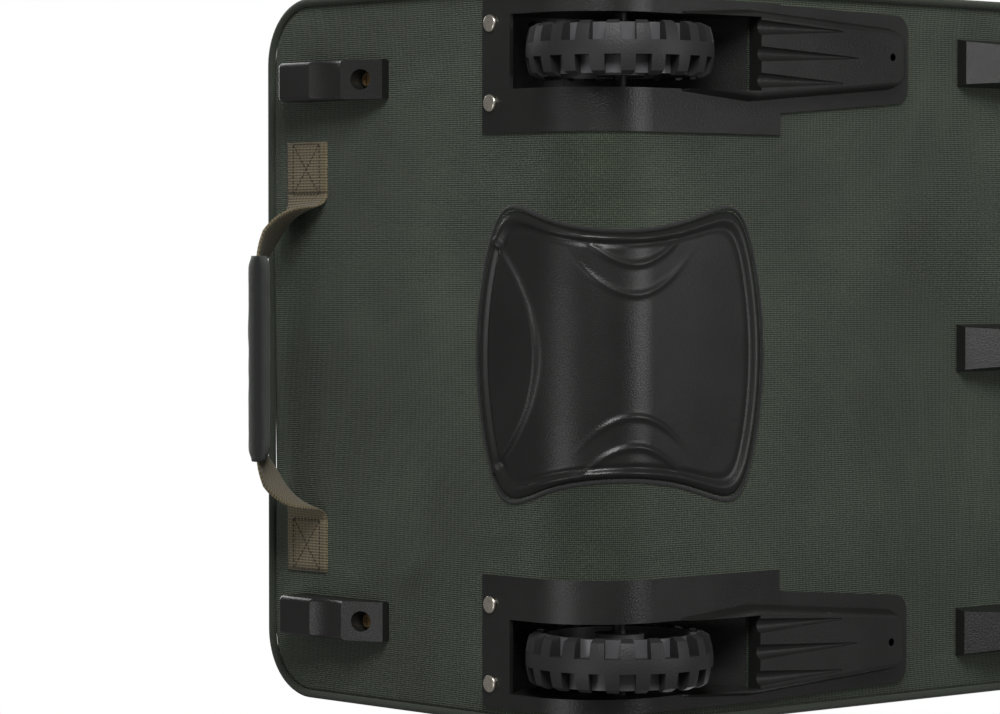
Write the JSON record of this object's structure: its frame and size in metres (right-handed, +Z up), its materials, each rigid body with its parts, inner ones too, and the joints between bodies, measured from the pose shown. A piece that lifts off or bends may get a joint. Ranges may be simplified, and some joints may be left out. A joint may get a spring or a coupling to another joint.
{
  "type": "rolling duffel bag",
  "caption": "Soft-sided travel duffel with in-line wheels, moulded runners and feet, zipped lid, carry handles and a telescopic pull handle.",
  "frame": {"origin": "middle of the bag in plan, on the floor under the centre runner", "axes": "+X from the wheel end to the pull-handle end, +Y to the lid's hinge side, +Z up with the bag lying on its wheels and runners"},
  "size_m": [0.8866, 0.4182, 0.3196],
  "materials": {
    "bag_cloth": "coarse basket weave",
    "piping": "woven binding",
    "webbing": "ribbed webbing",
    "grip_sleeve": "tight plain weave",
    "moulding": "fine grain",
    "guard_plastic": "fine grain",
    "tread": "matt rubber",
    "hub": "satin",
    "steel": "satin",
    "rivet": "nickel plated",
    "brass_screw": "plated",
    "zip_tape": "woven tape with moulded coil",
    "zip_metal": "gunmetal",
    "puller_rubber": "soft moulded",
    "tube_metal": "anodised",
    "handle_plastic": "fine grain",
    "button_plastic": "satin",
    "inner_board": "plain sheet"
  },
  "bodies": {
    "bag": {"wheel_end_panel": "bag_cloth", "pull_end_panel": "bag_cloth", "base_panel": "bag_cloth", "side_panel_left": "bag_cloth", "side_panel_right": "bag_cloth", "top_panel": "bag_cloth", "piping": "piping", "zip_chain": "zip_tape", "wheel_housing_left": "moulding", "axle_left": "steel", "housing_rivets_left": "rivet", "corner_foot_left": "moulding", "carry_tabs_left": "webbing", "wheel_housing_right": "moulding", "axle_right": "steel", "housing_rivets_right": "rivet", "corner_foot_right": "moulding", "carry_tabs_right": "webbing", "edge_guard": "guard_plastic", "runner_left": "moulding", "runner_centre": "moulding", "runner_right": "moulding", "runner_screws": "steel", "housing_screws": "brass_screw", "foot_screws": "brass_screw", "end_handle_tabs": "webbing", "end_handle_webbing": "webbing", "outer_tubes": "tube_metal", "handle_bezel": "handle_plastic", "tube_bracket": "inner_board", "tube_saddles": "inner_board", "base_board": "inner_board", "end_board": "inner_board"},
    "lid": {"lid_panel": "bag_cloth"},
    "wheel_left": {"tyre_left": "tread", "wheel_hub_left": "hub", "bearings_left": "steel"},
    "carry_handle_left": {"carry_loop_left": "webbing"},
    "wheel_right": {"tyre_right": "tread", "wheel_hub_right": "hub", "bearings_right": "steel"},
    "carry_handle_right": {"carry_loop_right": "webbing"},
    "end_handle": {"end_handle_grip": "grip_sleeve"},
    "pull_stage_middle": {"mid_tubes": "tube_metal", "tube_collars": "handle_plastic"},
    "pull_stage_inner": {"inner_tubes": "tube_metal", "pull_grip": "handle_plastic"},
    "button": {"release_button": "button_plastic"},
    "slider_wheel_end": {"zip_slider_wheel_end": "zip_metal"},
    "puller_wheel_end": {"zip_puller_wheel_end": "puller_rubber"},
    "slider_pull_end": {"zip_slider_pull_end": "zip_metal"},
    "puller_pull_end": {"zip_puller_pull_end": "puller_rubber"}
  },
  "joints": [
    {"name": "wheel_left_spin", "type": "hinge", "parent": "bag", "child": "wheel_left", "pos_m": [-0.359, -0.1705, 0.053], "axis": [0, 1, 0], "continuous": true},
    {"name": "wheel_right_spin", "type": "hinge", "parent": "bag", "child": "wheel_right", "pos_m": [-0.359, 0.1705, 0.053], "axis": [0, 1, 0], "continuous": true},
    {"name": "lid_open", "type": "hinge", "parent": "bag", "child": "lid", "pos_m": [0, 0.15, 0.313], "axis": [-1, 0, 0], "range_deg": [0, 120]},
    {"name": "end_handle_press", "type": "slide", "parent": "bag", "child": "end_handle", "axis": [1, 0, 0], "range_m": [0, 0.016], "deforming": ["end_handle_webbing"]},
    {"name": "carry_left_swing", "type": "hinge", "parent": "bag", "child": "carry_handle_left", "pos_m": [0, -0.2073, 0.258], "axis": [-1, 0, 0], "range_deg": [0, 170]},
    {"name": "carry_right_swing", "type": "hinge", "parent": "bag", "child": "carry_handle_right", "pos_m": [0, 0.2073, 0.258], "axis": [1, 0, 0], "range_deg": [0, 170]},
    {"name": "pull_outer_slide", "type": "slide", "parent": "bag", "child": "pull_stage_middle", "axis": [1, 0, 0], "range_m": [0, 0.2]},
    {"name": "pull_inner_slide", "type": "slide", "parent": "pull_stage_middle", "child": "pull_stage_inner", "axis": [1, 0, 0], "range_m": [0, 0.2]},
    {"name": "button_press", "type": "slide", "parent": "pull_stage_inner", "child": "button", "axis": [-1, 0, 0], "range_m": [0, 0.002], "stiffness_N_per_m": 400},
    {"name": "zip_wheel_end_slide", "type": "slide", "parent": "bag", "child": "slider_wheel_end", "axis": [-1, 0, 0], "range_m": [0, 0.235]},
    {"name": "zip_wheel_end_puller_lift", "type": "hinge", "parent": "slider_wheel_end", "child": "puller_wheel_end", "pos_m": [-0.0192, -0.1545, 0.3149], "axis": [0, 1, 0], "range_deg": [0, 110]},
    {"name": "zip_pull_end_slide", "type": "slide", "parent": "bag", "child": "slider_pull_end", "axis": [1, 0, 0], "range_m": [0, 0.235]},
    {"name": "zip_pull_end_puller_lift", "type": "hinge", "parent": "slider_pull_end", "child": "puller_pull_end", "pos_m": [0.0192, -0.1545, 0.3149], "axis": [0, -1, 0], "range_deg": [0, 110]}
  ]
}
